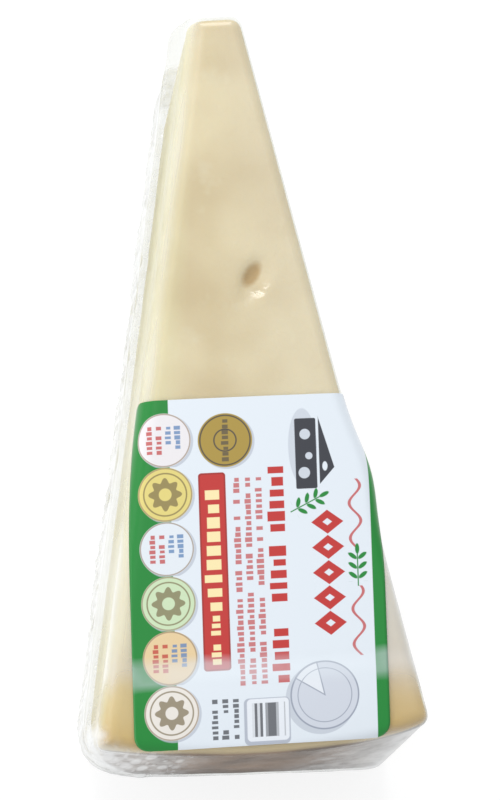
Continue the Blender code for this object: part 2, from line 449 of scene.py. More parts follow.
class Field:
    """A number that varies over a surface: a socket that arithmetic can be done on."""

    def __init__(self, tree, socket):
        self.tree = tree
        self.socket = socket

    def math(self, operation, *others, clamp=False):
        node = self.tree.nodes.new("ShaderNodeMath")
        node.operation = operation
        node.use_clamp = clamp
        for slot, value in zip(node.inputs, (self, *others)):
            if isinstance(value, Field):
                self.tree.links.new(value.socket, slot)
            else:
                slot.default_value = value
        return Field(self.tree, node.outputs[0])

    def __add__(self, other):
        return self.math("ADD", other)

    def __sub__(self, other):
        return self.math("SUBTRACT", other)

    def __mul__(self, other):
        return self.math("MULTIPLY", other)

    def __abs__(self):
        return self.math("ABSOLUTE")

    def least(self, other):
        return self.math("MINIMUM", other)

    def most(self, other):
        return self.math("MAXIMUM", other)

    def ramp(self, low, high):
        """0 where this is low, 1 where it is high, and straight between."""
        node = self.tree.nodes.new("ShaderNodeMapRange")
        node.inputs["From Min"].default_value = low
        node.inputs["From Max"].default_value = high
        self.tree.links.new(self.socket, node.inputs["Value"])
        return Field(self.tree, node.outputs["Result"])


def new_material(name):
    """An empty node material and its output node."""
    material = bpy.data.materials.new(name)
    material.use_nodes = True
    tree = material.node_tree
    tree.nodes.clear()
    output = tree.nodes.new("ShaderNodeOutputMaterial")
    return material, tree, output


def add_node(tree, kind, **inputs):
    """A node of this kind with the named inputs set or linked."""
    node = tree.nodes.new(kind)
    for name, value in inputs.items():
        slot = node.inputs[name.replace("_", " ")]
        if isinstance(value, Field):
            tree.links.new(value.socket, slot)
        elif isinstance(value, bpy.types.NodeSocket):
            tree.links.new(value, slot)
        else:
            slot.default_value = value
    return node


def attribute_field(tree, name):
    """A per-point number stored on the mesh."""
    node = tree.nodes.new("ShaderNodeAttribute")
    node.attribute_name = name
    return Field(tree, node.outputs["Fac"])


def object_place(tree, stretch):
    """The object's own coordinates in metres, stretched along its axes."""
    place = tree.nodes.new("ShaderNodeTexCoord")
    mapping = tree.nodes.new("ShaderNodeMapping")
    mapping.inputs["Scale"].default_value = stretch
    tree.links.new(place.outputs["Object"], mapping.inputs["Vector"])
    return mapping.outputs["Vector"]


def noise_field(tree, scale, detail=2.0, stretch=(1.0, 1.0, 1.0)):
    place = object_place(tree, stretch)
    texture = add_node(tree, "ShaderNodeTexNoise", Vector=place, Scale=scale, Detail=detail)
    return Field(tree, texture.outputs["Fac"])


def cell_field(tree, scale, stretch):
    """Distance from the middle of the nearest of many uneven cells."""
    texture = add_node(tree, "ShaderNodeTexVoronoi", Vector=object_place(tree, stretch), Scale=scale)
    return Field(tree, texture.outputs["Distance"])


def line_field(tree, along, scale):
    """Distance from the nearest of many unevenly spaced lines across a direction."""
    texture = tree.nodes.new("ShaderNodeTexVoronoi")
    texture.voronoi_dimensions = "1D"
    texture.inputs["Scale"].default_value = scale
    tree.links.new(along.socket, texture.inputs["W"])
    return Field(tree, texture.outputs["Distance"])


def paint(tree, below, color, mask):
    """Lay a colour over another where the mask is 1."""
    node = tree.nodes.new("ShaderNodeMix")
    node.data_type = "RGBA"
    tree.links.new(mask.socket, node.inputs["Factor"])
    for slot, value in ((node.inputs["A"], below), (node.inputs["B"], color)):
        if isinstance(value, bpy.types.NodeSocket):
            tree.links.new(value, slot)
        else:
            slot.default_value = (*value, 1.0)
    return node.outputs["Result"]


# The cheese

def cheese_wrap():
    return Wrap(columns=64, rows=190, corner_steps=5, rim_steps=6, side_steps=44, rim=0.0024,
                left_rim=0.0042, base_rim=0.0027, nose_corner=0.0031, rind_corner=0.0020,
                base_corners=(0.0172, 0.0068), slope_in=(0.0065, 0.0022), flat_bulge=0.0004,
                slack=(0.0, 0.0),
                lift=0.0, inside=0.0004, nose_inside=0.0004)


def cheese_relief(point, outward, depth):
    """Faint grain of the cut sides."""
    grain = noise.noise(Vector((point.x * 160.0, point.y * 160.0, depth * 160.0)))
    return 0.00012 * grain * smooth_step(0.002, 0.006, depth)


def cheese_sink(x, station):
    """The cheese lies just under its film, and deeper in the open eye."""
    return 0.0003 + EYE_HOLE_DEPTH * eye_hole(x, station)


def cheese_material():
    """Pale, slightly translucent cheese that turns tan towards the rind."""
    material, tree, output = new_material("cheese")
    station = attribute_field(tree, "station")
    mottle = noise_field(tree, 160.0, 4.0)
    cloud = noise_field(tree, 38.0, 2.0)
    color = paint(tree, srgb(228, 213, 177), srgb(208, 188, 148), cloud.ramp(0.36, 0.66))
    color = paint(tree, color, srgb(232, 224, 198), mottle.ramp(0.6, 0.85) * 0.45)
    across = attribute_field(tree, "across")
    # painted light: the face painted paler towards its right side, which the lamps leave dimmer
    color = paint(tree, color, srgb(232, 220, 194), across.ramp(-0.3, 1.0) * 0.6)
    color = paint(tree, color, srgb(231, 223, 180), across.ramp(-0.55, -0.95) * 0.75)
    side_share = attribute_field(tree, "side")
    side = paint(tree, srgb(227, 220, 184), srgb(215, 205, 162), mottle.ramp(0.4, 0.7))
    color = paint(tree, color, side, side_share * 0.85)
    near_rind = (station + cloud * 0.012).ramp(0.186, 0.213) * (side_share * -0.5 + 1.0)
    color = paint(tree, color, srgb(205, 171, 102), near_rind)
    pale_strip = station.ramp(0.2052, 0.2082) * abs(across).ramp(0.75, 0.55)
    color = paint(tree, color, srgb(214, 197, 163), pale_strip * 0.85)
    # painted shade: the open eye painted darker brown, standing in for the shade in its hollow
    color = paint(tree, color, srgb(178, 142, 84), attribute_field(tree, "hole").ramp(0.25, 0.8) * 0.75)
    rind = attribute_field(tree, "rind")
    crust = noise_field(tree, 60.0, 3.0, UPRIGHT)
    rind_color = paint(tree, srgb(128, 102, 80), srgb(86, 66, 50), crust.ramp(0.4, 0.6))
    # painted shade: the rind painted darker down towards its base
    rind_color = paint(tree, rind_color, srgb(70, 52, 38), attribute_field(tree, "depth").ramp(0.070, 0.100))
    color = paint(tree, color, rind_color, rind)
    shader = add_node(tree, "ShaderNodeBsdfPrincipled", Base_Color=color, Roughness=0.6)
    shader.inputs["Specular IOR Level"].default_value = 0.08
    shader.inputs["Subsurface Weight"].default_value = 0.2
    shader.inputs["Subsurface Radius"].default_value = (1.0, 0.8, 0.5)
    shader.inputs["Subsurface Scale"].default_value = 0.003
    bump = add_node(tree, "ShaderNodeBump", Strength=0.25, Distance=0.0004)
    grain = noise_field(tree, 700.0, 3.0) * (rind * -0.8 + 1.0) + crust * rind
    tree.links.new(grain.socket, bump.inputs["Height"])
    tree.links.new(bump.outputs["Normal"], shader.inputs["Normal"])
    tree.links.new(shader.outputs["BSDF"], output.inputs["Surface"])
    return material


def store_numbers(made, name, values):
    """Store one number for each vertex, for the material to read."""
    attribute = made.data.attributes.new(name, "FLOAT", "POINT")
    attribute.data.foreach_set("value", values)


def make_cheese(plan):
    wrap = cheese_wrap()
    vertices, faces = wrap.mesh_data(cheese_relief, cheese_sink)
    cheese = make_mesh_object("cheese", vertices, faces, cheese_material(), plan)
    store_numbers(cheese, "station", [p.y for p in vertices])
    store_numbers(cheese, "across", [p.x / half_width(p.y) for p in vertices])
    store_numbers(cheese, "depth", [DEPTH - p.z for p in vertices])
    below_face = [face_height(p.x, p.y) - p.z for p in vertices]
    store_numbers(cheese, "side", [smooth_step(0.0008, 0.0036, below) for below in below_face])
    store_numbers(cheese, "hole", [eye_hole(p.x, p.y) if p.z > DEPTH / 2.0 else 0.0 for p in vertices])
    around = 2 * (wrap.columns + wrap.rows)
    ring_points = len(vertices) - (wrap.rows - 1) * (wrap.columns - 1)
    rind = [0.0] * len(vertices)
    middle = wrap.columns / 2.0
    for number in range(ring_points):
        along = number % around - wrap.columns - wrap.rows
        at_rind = smooth_step(-1.5, 1.0, along) * smooth_step(-1.5, 1.0, wrap.columns - along)
        start = blend(0.0008, 0.0034, smooth_step(0.35, 0.8, abs(along / middle - 1.0)))
        rind[number] = at_rind * smooth_step(start, start + 0.0018, below_face[number])
    store_numbers(cheese, "rind", rind)
    return cheese


# The film

def film_wrap():
    return Wrap(columns=72, rows=230, corner_steps=8, rim_steps=7, side_steps=84, rim=0.0028,
                left_rim=0.0048, base_rim=0.0028, nose_corner=0.0028, rind_corner=0.0026,
                base_corners=(0.0170, 0.0065), slope_in=(0.0065, 0.0022), flat_bulge=0.0004,
                slack=(0.0026, 0.0022), lift=1.0, inside=0.0, nose_inside=0.0)


def crest_depth(station):
    """Depth on the left side where the film comes away from the cheese, in an uneven line."""
    return 0.058 + 0.016 * noise.noise(Vector((station * 45.0, 2.0, 0.0)))


def film_looseness(x, station, depth):
    """0 where the film clings and 1 where it hangs free of the cheese.

    It clings to the upper part of the left side and comes away below; at the rind, the
    nose and the right side it is loose almost from the rim down.
    """
    left = smooth_step(-0.2, -0.7, x / half_width(station)) * smooth_step(0.200, 0.190, station)
    below = depth - crest_depth(station)
    at_right_corner = smooth_step(0.35, 0.75, x / half_width(station)) * smooth_step(0.190, 0.200, station)
    others = smooth_step(0.003, 0.020, depth) * (1.0 - 0.6 * at_right_corner)
    return blend(others, smooth_step(-0.006, 0.020, below), left)


def crumple(x, y, z):
    """Flat facets that meet in sharp crests: 1 on a crest and 0 inside a facet."""
    near = noise.voronoi(Vector((x, y, z)))[0]
    return 1.0 - min((near[1] - near[0]) * 1.7, 1.0)


def film_folds(x, station, depth):
    """The large and the small facets of the loose film."""
    large = crumple(x * 110.0 + 7.0, station * 110.0, depth * 42.0)
    small = crumple(x * 260.0, station * 260.0 + 3.0, depth * 110.0)
    return large, small


def film_crest(x, station, depth):
    """1 along the sharp folds of the loose film, which are worked white."""
    large, small = film_folds(x, station, depth)
    off_rind = smooth_step(0.200, 0.192, station)
    return max(large, 0.8 * small) ** 4 * smooth_step(0.004, 0.012, depth) * blend(0.06, 1.0, off_rind)


def film_relief(point, outward, depth):
    """Upright pleats and facets of the film where it hangs loose on the sides."""
    loose = film_looseness(point.x, point.y, depth)
    x, station = point
    swell = noise.noise(Vector((x * 55.0, station * 55.0, depth * 12.0)))
    large, small = film_folds(x, station, depth)
    crimp = crumple(station * 150.0, x * 40.0, 5.0) * smooth_step(0.060, 0.095, depth)
    nose_corner = math.hypot(x + half_width(NOSE_STATION), station - NOSE_STATION)
    ear = math.exp(-(nose_corner / 0.004) ** 2) * smooth_step(0.0015, 0.005, depth)
    height = 0.0006 * swell + 0.0009 * (large - 0.5) + 0.00045 * (small - 0.5) + 0.0004 * crimp
    at_rind = smooth_step(0.3, 0.9, outward.y)
    rind_middle = 1.0 - smooth_step(0.25, 0.75, abs(x / half_width(station) + 0.05))
    rind_corner = smooth_step(0.5, 0.9, x / half_width(station)) * smooth_step(0.165, 0.190, station)
    calm = (1.0 - at_rind * blend(0.5, 0.88, rind_middle)) * (1.0 - 0.8 * rind_corner)
    room = 0.00022 + 0.0018 * smooth_step(0.004, 0.026, depth) * smooth_step(-0.3, -0.8, outward.x)
    room -= 0.00014 * at_rind
    return loose * max((height - 0.0004) * calm, -room) + 0.0012 * ear * smooth_step(0.05, 0.015, depth)


def film_haze_and_painted_light(x, station, depth):
    """How milky the film is: worked white where it is creased and slack on the sides, with painted light on the
    face.

    On the face a painted reflection lies beside the label as a milky band and ends at the crease across the
    wedge.
    Over the middle of the rind the film is almost clear.
    """
    side = x / half_width(station)
    uneven = station + 0.0016 * noise.noise(Vector((x * 90.0, station * 90.0, 9.0)))
    # painted reflection: a milky band on the face beside the label, ending at the crease
    painted_reflection_end = blend(0.1935, 0.2010, smooth_step(0.3, 0.8, side))
    painted_reflection_beside_label = smooth_step(0.148, 0.166, station) * smooth_step(painted_reflection_end, 0.1872, uneven)
    right_corner = smooth_step(0.2045, 0.2085, station) * smooth_step(0.45, 0.75, side)
    # painted highlight: a soft bright line along the crease across the face
    crease = math.exp(-((station - CREASE_MIDDLE) / 0.0030) ** 2)
    from_edge = half_width(station) + x
    # painted highlight: a soft band just inside the left rim, uneven along its length
    left_rim = math.exp(-((from_edge - 0.0019) / 0.0013) ** 2) * smooth_step(0.197, 0.189, station)
    left_rim *= 0.85 + 0.6 * noise.noise(Vector((station * 55.0, 4.0, 1.0)))
    face = (0.42 - 0.15 * smooth_step(0.3, -0.9, side)) * painted_reflection_beside_label + 0.08 * crease
    face = max(face, 0.32 * left_rim, 0.45 * right_corner) + 0.017 + 0.02 * smooth_step(0.0012, 0.0004, from_edge)
    at_rind = smooth_step(0.198, 0.203, station)
    rind_ends = smooth_step(0.15, 0.95, abs(side + 0.02))
    below = depth - crest_depth(station)
    patch = noise.noise(Vector((station * 60.0, depth * 40.0, 8.0)))
    upper = blend(0.045, 0.095, smooth_step(0.09, 0.14, station)) * (1.0 + 0.7 * patch)
    down_left = blend(upper, 0.17, smooth_step(-0.003, 0.004, below))
    down_left += 0.13 * math.exp(-(below / 0.004) ** 2) + 0.05 * smooth_step(0.060, 0.090, depth)
    at_rim = smooth_step(0.0050, 0.0010, depth) * smooth_step(0.4, 0.8, abs(side))
    rind_haze = blend(0.004, 0.13, rind_ends) + 0.20 * smooth_step(0.7, 1.0, abs(side)) + 0.26 * at_rim
    sides = blend(down_left if side < 0.0 else 0.15, rind_haze, at_rind)
    start = blend(0.0030, 0.0006, at_rind)
    return blend(face, sides, smooth_step(start, 2.0 * start + 0.0030, depth))


def film_bubbles(x, station, depth):
    """Where small pockets of air lie under the film: at the left end of the rind."""
    at_left = smooth_step(-0.25, -0.62, x / half_width(station))
    return at_left * smooth_step(0.196, 0.202, station) * smooth_step(0.0005, 0.0030, depth)


def film_material():
    """Clear glossy film, milky where it is loose and crumpled, with painted reflections and highlights laid on
    the face as milkiness.
    """
    material, tree, output = new_material("film")
    loose = attribute_field(tree, "loose")
    # the film's milkiness, which on the face also holds painted reflections and painted highlights
    haze_and_painted_light = attribute_field(tree, "haze_and_painted_light")
    streaks = noise_field(tree, 340.0, 3.0, (1.0, 1.0, 0.30))
    patches = noise_field(tree, 120.0, 2.0, (1.0, 1.0, 0.30))
    uneven = streaks.ramp(0.35, 0.65) * 0.8 + patches.ramp(0.35, 0.65) * 0.6 - 0.7
    along = attribute_field(tree, "station") + patches * 0.006
    pleats = line_field(tree, along, 140.0).ramp(0.16, 0.05) * attribute_field(tree, "pleated")
    large = cell_field(tree, 290.0, TALL) + patches * 0.5 + streaks * 0.4
    small = cell_field(tree, 560.0, TALL) + patches * 0.3
    pockets = large.ramp(0.90, 0.70).most(small.ramp(0.50, 0.30) * 0.6)
    bubbles = pockets * attribute_field(tree, "bubbly")
    facing = tree.nodes.new("ShaderNodeLayerWeight")
    askew = Field(tree, facing.outputs["Facing"])
    path = (askew * -1.0 + 1.12).math("POWER", -1.0)
    crests = attribute_field(tree, "crest") * loose
    milk = haze_and_painted_light * (loose * uneven + 1.0) + pleats * 0.10 + bubbles * 0.14 + crests * 0.16
    cover = (milk.most(0.0).least(0.9) * -1.0 + 1.0).math("POWER", path) * -1.0 + 1.0
    clear = add_node(tree, "ShaderNodeBsdfTransparent")
    clear.inputs["Color"].default_value = (0.965, 0.972, 0.965, 1.0)
    white = add_node(tree, "ShaderNodeBsdfDiffuse")
    lit = (pleats + patches.ramp(0.42, 0.60) * 0.8).most(loose * -1.0 + 1.0).least(1.0)
    shade = paint(tree, (0.83, 0.835, 0.835), (0.92, 0.925, 0.92), lit)
    tree.links.new(shade, white.inputs["Color"])
    body = add_node(tree, "ShaderNodeMixShader", Fac=cover.least(0.88))
    tree.links.new(clear.outputs[0], body.inputs[1])
    tree.links.new(white.outputs[0], body.inputs[2])
    gloss = add_node(tree, "ShaderNodeBsdfGlossy", Roughness=loose * -0.14 + 0.27)
    share = askew.math("POWER", 5.0) * (haze_and_painted_light * 0.6 + 0.03) + 0.055
    bump = add_node(tree, "ShaderNodeBump", Strength=0.6, Distance=0.0006)
    wrinkle = noise_field(tree, 320.0, 2.0, UPRIGHT) * loose + pleats * 0.6 + bubbles * 0.8
    tree.links.new(wrinkle.socket, bump.inputs["Height"])
    tree.links.new(bump.outputs["Normal"], gloss.inputs["Normal"])
    surface = add_node(tree, "ShaderNodeMixShader", Fac=share)
    tree.links.new(body.outputs[0], surface.inputs[1])
    tree.links.new(gloss.outputs[0], surface.inputs[2])
    tree.links.new(surface.outputs[0], output.inputs["Surface"])
    return material


def make_film(plan):
    vertices, faces = film_wrap().mesh_data(film_relief, lambda x, station: 0.0)
    film = make_mesh_object("film", vertices, faces, film_material(), plan)
    loose = [film_looseness(p.x, p.y, DEPTH - p.z) + dimple_share(p.x, p.y, p.z) for p in vertices]
    store_numbers(film, "loose", loose)
    store_numbers(film, "haze_and_painted_light", [film_haze_and_painted_light(p.x, p.y, DEPTH - p.z) for p in vertices])
    store_numbers(film, "crest", [film_crest(p.x, p.y, DEPTH - p.z) for p in vertices])
    store_numbers(film, "station", [p.y for p in vertices])
    store_numbers(film, "pleated", [film_looseness(p.x, p.y, DEPTH - p.z) if p.y < 0.198 else 0.0
                                    for p in vertices])
    store_numbers(film, "bubbly", [film_bubbles(p.x, p.y, DEPTH - p.z) for p in vertices])
    return film


# The label

def label_surface(wrap, x, station):
    """A point of the label's underside, given its place on the flat sheet.

    Past an edge of the face the sheet bends round the rim and runs on down the side.
    """
    side = 1.0 if x > 0.0 else -1.0
    edge = half_width(station) + (edge_lift(station) if side > 0.0 else 0.0)
    radius = wrap.rim_at(side * edge, station)
    flat_x = edge - radius
    out_x, down_x = bent(abs(x) - flat_x, radius + LABEL_GAP)
    reach = side * min(abs(x), flat_x)
    flat_s = rind_edge(reach) - wrap.rim
    out_s, down_s = bent(station - flat_s, wrap.rim + LABEL_GAP)
    placed_s = flat_s + out_s
    height = face_height(reach, placed_s) + LABEL_GAP - down_x - down_s
    return Vector((side * (flat_x + out_x), placed_s, height))


def label_rows():
    """Places of the label's mesh rows along its height, closer together in its corners."""
    half_height = LABEL_HEIGHT / 2.0
    span = half_height - LABEL_CORNER
    corner = [half_height - LABEL_CORNER * (1.0 - math.sin(math.pi / 2.0 * step / LABEL_CORNER_ROWS))
              for step in range(LABEL_CORNER_ROWS, 0, -1)]
    middle = [span - 2.0 * span * row / LABEL_ROWS for row in range(LABEL_ROWS + 1)]
    return corner + middle + [-v for v in reversed(corner)]


def make_label(plan):
    """The paper label: a thin sheet with round corners, folded over the wedge's edges."""
    wrap = film_wrap()
    half_height = LABEL_HEIGHT / 2.0
    rows = label_rows()
    vertices = []
    flat = []
    for v in rows:
        into_corner = max(abs(v) - (half_height - LABEL_CORNER), 0.0)
        cut = LABEL_CORNER - math.sqrt(max(LABEL_CORNER ** 2 - into_corner ** 2, 0.0))
        reach = LABEL_WIDTH / 2.0 - cut
        for column in range(LABEL_COLUMNS + 1):
            u = reach * (2.0 * column / LABEL_COLUMNS - 1.0)
            x = LABEL_X + u + LABEL_LEAN * v
            station = LABEL_STATION - v + LABEL_SLOPE * u * (0.5 + v / LABEL_HEIGHT)
            vertices.append(label_surface(wrap, x, station))
            flat.append((u * 1000.0, v * 1000.0))
    width = LABEL_COLUMNS + 1
    faces = []
    for row in range(len(rows) - 1):
        for column in range(LABEL_COLUMNS):
            low = row * width + column
            faces.append((low, low + width, low + width + 1, low + 1))
    label = make_mesh_object("printed_label", vertices, faces, label_material(), plan)
    store_numbers(label, "across", [u for u, v in flat])
    store_numbers(label, "along", [v for u, v in flat])
    store_numbers(label, "station", [p.y for p in vertices])
    solidify = label.modifiers.new("thickness", "SOLIDIFY")
    solidify.thickness = LABEL_THICKNESS
    solidify.offset = 1.0
    return label


# The label's print. All of it is plain shapes; nothing on it is lettering.

WHITE = srgb(222, 229, 236)
GREEN = srgb(14, 130, 46)
RED = srgb(190, 48, 44)
DARK_RED = srgb(160, 40, 34)
CHARCOAL = srgb(52, 54, 62)
BLUE = srgb(84, 128, 178)
CREAM = srgb(244, 226, 172)
GOLD = srgb(168, 142, 62)
PALE_GREY = srgb(205, 210, 220)
SHADE = srgb(178, 184, 196)
SPOT_FILLS = (srgb(230, 226, 228), srgb(222, 206, 122), srgb(222, 228, 234), srgb(200, 220, 182),
              srgb(226, 200, 154), srgb(230, 224, 216))
EDGE = 0.07
GAP_SHARE = 0.14
SPOT_U = -21.0
SPOT_TOP = 31.6
SPOT_PITCH = 12.85
SPOT_RADIUS = 6.38


class Sheet:
    """The print's flat plane in millimetres: u across to the right, v up to the nose.

    Shapes are fields that hold the distance inside their outline, negative outside it.
    """

    def __init__(self, u, v):
        self.u = u
        self.v = v

    def turned(self, centre_u, centre_v, angle=0.0):
        """The plane as seen from another centre, turned by an angle in degrees."""
        u = self.u - centre_u
        v = self.v - centre_v
        cosine, sine = math.cos(math.radians(angle)), math.sin(math.radians(angle))
        return Sheet(u * cosine + v * sine, v * cosine - u * sine)

    def box(self, low_u, high_u, low_v, high_v, corner=0.0):
        """A rectangle, with round corners if asked for."""
        across = abs(self.u - (low_u + high_u) / 2.0)
        along = abs(self.v - (low_v + high_v) / 2.0)
        half_u, half_v = (high_u - low_u) / 2.0, (high_v - low_v) / 2.0
        if not corner:
            return (across * -1.0 + half_u).least(along * -1.0 + half_v)
        over_u = (across - (half_u - corner)).most(0.0)
        over_v = (along - (half_v - corner)).most(0.0)
        return (over_u * over_u + over_v * over_v).math("SQRT") * -1.0 + corner

    def disc(self, radius):
        return (self.u * self.u + self.v * self.v).math("SQRT") * -1.0 + radius

    def ring(self, radius, width):
        return abs(self.disc(radius)) * -1.0 + width / 2.0

    def oval(self, half_u, half_v):
        long = self.u * (1.0 / half_u)
        short = self.v * (1.0 / half_v)
        return ((long * long + short * short).math("SQRT") * -1.0 + 1.0) * min(half_u, half_v)

    def repeated(self, pitch):
        """Copies of the plane one after another along v, each with its own v from its middle."""
        part = (self.v * (1.0 / pitch) + 0.5).math("FRACT")
        return Sheet(self.u, (part - 0.5) * pitch)

    def rows_of_blocks(self, low_u, high_u, low_v, high_v, rows, pitch, seed):
        """Rows of small blocks, uneven in size, with gaps: the texture of a text, unwritten."""
        row_height = (high_u - low_u) / rows
        row_place = (self.u - low_u) * (1.0 / row_height)
        block_place = self.v * (1.0 / pitch) + seed
        row, block = row_place.math("FLOOR"), block_place.math("FLOOR")
        tall = random_field(row + seed, block)
        wide = random_field(block, row + seed)
        across = abs(row_place.math("FRACT") - 0.5 + tall * 0.1 - 0.05) * -row_height
        along = abs(block_place.math("FRACT") - 0.5) * -pitch
        across = across + (tall * 0.14 + 0.2) * row_height
        along = along + (wide * 0.2 + 0.24) * pitch
        middle = (block + (0.5 - seed)) * pitch
        kept = (middle - low_v).least(middle * -1.0 + high_v).least(wide - GAP_SHARE) * 100.0
        beyond = abs(self.u - (low_u + high_u) / 2.0) * -1.0 + (high_u - low_u) / 2.0
        return across.least(along).least(kept).least(beyond)


def random_field(first, second):
    """A random number for each pair of whole numbers."""
    tree = first.tree
    pair = tree.nodes.new("ShaderNodeCombineXYZ")
    tree.links.new(first.socket, pair.inputs["X"])
    tree.links.new(second.socket, pair.inputs["Y"])
    white = tree.nodes.new("ShaderNodeTexWhiteNoise")
    white.noise_dimensions = "2D"
    tree.links.new(pair.outputs["Vector"], white.inputs["Vector"])
    return Field(tree, white.outputs["Value"])


def printed(tree, below, color, shape, strength=1.0):
    """Print a shape in one colour."""
    return paint(tree, below, color, shape.ramp(-EDGE, EDGE) * strength)


def print_spots(tree, color, sheet):
    """A column of round spots in pale colours, with a ring and blocks or circles in each."""
    step = ((sheet.v * -1.0 + SPOT_TOP) * (1.0 / SPOT_PITCH) + 0.5).math("FLOOR").most(0.0).least(5.0)
    spot = Sheet(sheet.u - SPOT_U, sheet.v - (step * -SPOT_PITCH + SPOT_TOP))
    fills = tree.nodes.new("ShaderNodeValToRGB")
    fills.color_ramp.interpolation = "CONSTANT"
    for number, fill in enumerate(SPOT_FILLS):
        if number < 2:
            stop = fills.color_ramp.elements[number]
            stop.position = number / 6.0
        else:
            stop = fills.color_ramp.elements.new(number / 6.0)
        stop.color = (*fill, 1.0)
    tree.links.new(((step + 0.5) * (1.0 / 6.0)).socket, fills.inputs["Fac"])
    color = printed(tree, color, SHADE, spot.turned(0.45, -0.35).disc(SPOT_RADIUS + 0.1), 0.7)
    color = printed(tree, color, fills.outputs["Color"], spot.disc(SPOT_RADIUS))
    color = printed(tree, color, srgb(150, 128, 104), spot.ring(SPOT_RADIUS - 0.2, 0.3), 0.8)
    odd = (step * 0.5).math("FRACT").ramp(0.2, 0.3)
    even = odd * -1.0 + 1.0
    rows = spot.rows_of_blocks(-4.4, 4.4, -3.9, 3.9, 4, 1.15, 3.0)
    tint = paint(tree, RED, BLUE, (spot.u).ramp(-0.1, 0.1))
    color = paint(tree, color, tint, rows.ramp(-EDGE, EDGE) * even * 0.85)
    turn = spot.v.math("ARCTAN2", spot.u)
    petals = spot.disc(3.4) + (turn * 8.0).math("COSINE") * 0.55
    rosette = petals.least(spot.disc(1.5) * -1.0).most(spot.ring(5.0, 0.35))
    return paint(tree, color, srgb(120, 104, 66), rosette.ramp(-EDGE, EDGE) * odd * 0.8)


def print_seal(tree, color, sheet):
    """One darker gold spot beside the column."""
    seal = sheet.turned(-6.6, 31.0)
    color = printed(tree, color, SHADE, seal.turned(0.45, -0.35).disc(6.5), 0.7)
    color = printed(tree, color, GOLD, seal.disc(6.4))
    color = printed(tree, color, CHARCOAL, seal.ring(5.9, 0.35).most(seal.ring(2.6, 0.35)), 0.85)
    return printed(tree, color, CHARCOAL, seal.rows_of_blocks(-1.4, 1.4, -5.0, 5.0, 1, 1.3, 8.0), 0.7)


def print_banner(tree, color, sheet):
    """A red band with a darker edge and cream blocks."""
    color = printed(tree, color, DARK_RED, sheet.box(-13.2, -6.8, -23.4, 23.4, 0.8))
    color = printed(tree, color, RED, sheet.box(-12.8, -7.2, -23.0, 23.0, 0.6))
    blocks = sheet.rows_of_blocks(-13.0, -7.0, -9.0, 20.0, 1, 3.3, 1.0)
    blocks = blocks.most(sheet.rows_of_blocks(-11.8, -8.2, -21.5, -11.0, 1, 1.7, 2.0))
    return printed(tree, color, CREAM, blocks)


def print_texts(tree, color, sheet):
    """Red and dark rows of blocks down the middle of the label."""
    thin = sheet.rows_of_blocks(-5.6, 2.2, -27.5, 22.0, 3, 1.3, 4.0)
    heading = sheet.rows_of_blocks(1.9, 8.3, -27.5, 25.5, 1, 2.75, 5.0)
    color = printed(tree, color, RED, thin, 0.8)
    color = printed(tree, color, RED, heading)
    dark = sheet.rows_of_blocks(-12.2, -4.8, -40.0, -29.5, 3, 1.2, 6.0)
    return printed(tree, color, CHARCOAL, dark, 0.85)


def print_ornament(tree, color, sheet):
    """A row of red lozenges, a wavy line on either side of a leafy twig, and a second twig."""
    lozenge = sheet.turned(16.8, -1.5)
    cell = lozenge.repeated(6.0)
    slant = abs(cell.u) * 0.62 + abs(cell.v) * 0.82
    row = (slant * -1.0 + 2.35).least(slant - 0.7).least(lozenge.box(-4.0, 4.0, -15.0, 15.0))
    color = printed(tree, color, RED, row)
    wave = (sheet.v * 0.75).math("SINE") * 1.3
    line = abs(sheet.u - 23.4 - wave) * -1.0 + 0.36
    ends = (abs(sheet.v + 0.5) - 4.5).least(abs(sheet.v + 0.5) * -1.0 + 21.0)
    color = printed(tree, color, RED, line.least(ends), 0.85)
    for place, angle in (((23.6, -0.5), 0.0), ((12.4, 15.2), -64.0)):
        color = printed(tree, color, GREEN, twig(sheet.turned(*place, angle)))
    return color


def twig(sheet):
    """A slender twig with three pairs of narrow leaves and one at its tip."""
    pair = sheet.repeated(2.3)
    pair = Sheet(abs(pair.u), pair.v).turned(1.15, 0.35, -52.0)
    leaves = pair.oval(0.5, 1.25).least(sheet.box(-3.0, 3.0, -3.45, 3.45))
    tip = sheet.turned(0.0, 4.3).oval(0.5, 1.25)
    return leaves.most(tip).most(sheet.box(-0.14, 0.14, -4.6, 3.8))


def print_wedge(tree, color, sheet):
    """A charcoal wedge of cheese with round holes, over a soft grey shade."""
    place = sheet.turned(14.2, 27.0, -90.0)
    color = printed(tree, color, SHADE, place.turned(-1.6, -2.6).oval(9.2, 3.4), 0.5)
    block = place.box(-8.4, 8.4, -4.4, 0.6, 0.4)
    top = (place.v - 1.2).least(place.u * 0.29 - place.v + 3.7).least(place.u * -0.9 - place.v + 7.9)
    holes = place.turned(-4.6, -2.0).disc(1.25).most(place.turned(0.6, -1.2).disc(0.85))
    holes = holes.most(place.turned(4.6, -2.4).disc(1.35)).most(place.turned(3.2, 2.5).oval(1.1, 0.6))
    return printed(tree, color, CHARCOAL, block.most(top).least(holes * -1.0))


def print_wheel(tree, color, sheet):
    """A pale grey wheel of cheese seen from above, with one slice marked off."""
    wheel = sheet.turned(14.8, -30.4)
    color = printed(tree, color, SHADE, wheel.turned(-0.9, -0.8).disc(8.3), 0.6)
    color = printed(tree, color, PALE_GREY, wheel.disc(8.0))
    slice_turn = wheel.turned(0.0, 0.0, 35.0)
    piece = (abs(slice_turn.u) * -1.0 + slice_turn.v * 0.42).least(wheel.disc(8.0))
    color = printed(tree, color, srgb(226, 230, 236), piece)
    lines = wheel.ring(7.9, 0.35).most(wheel.ring(6.3, 0.2)).most((abs(piece) * -1.0 + 0.14))
    return printed(tree, color, srgb(132, 140, 158), lines, 0.8)


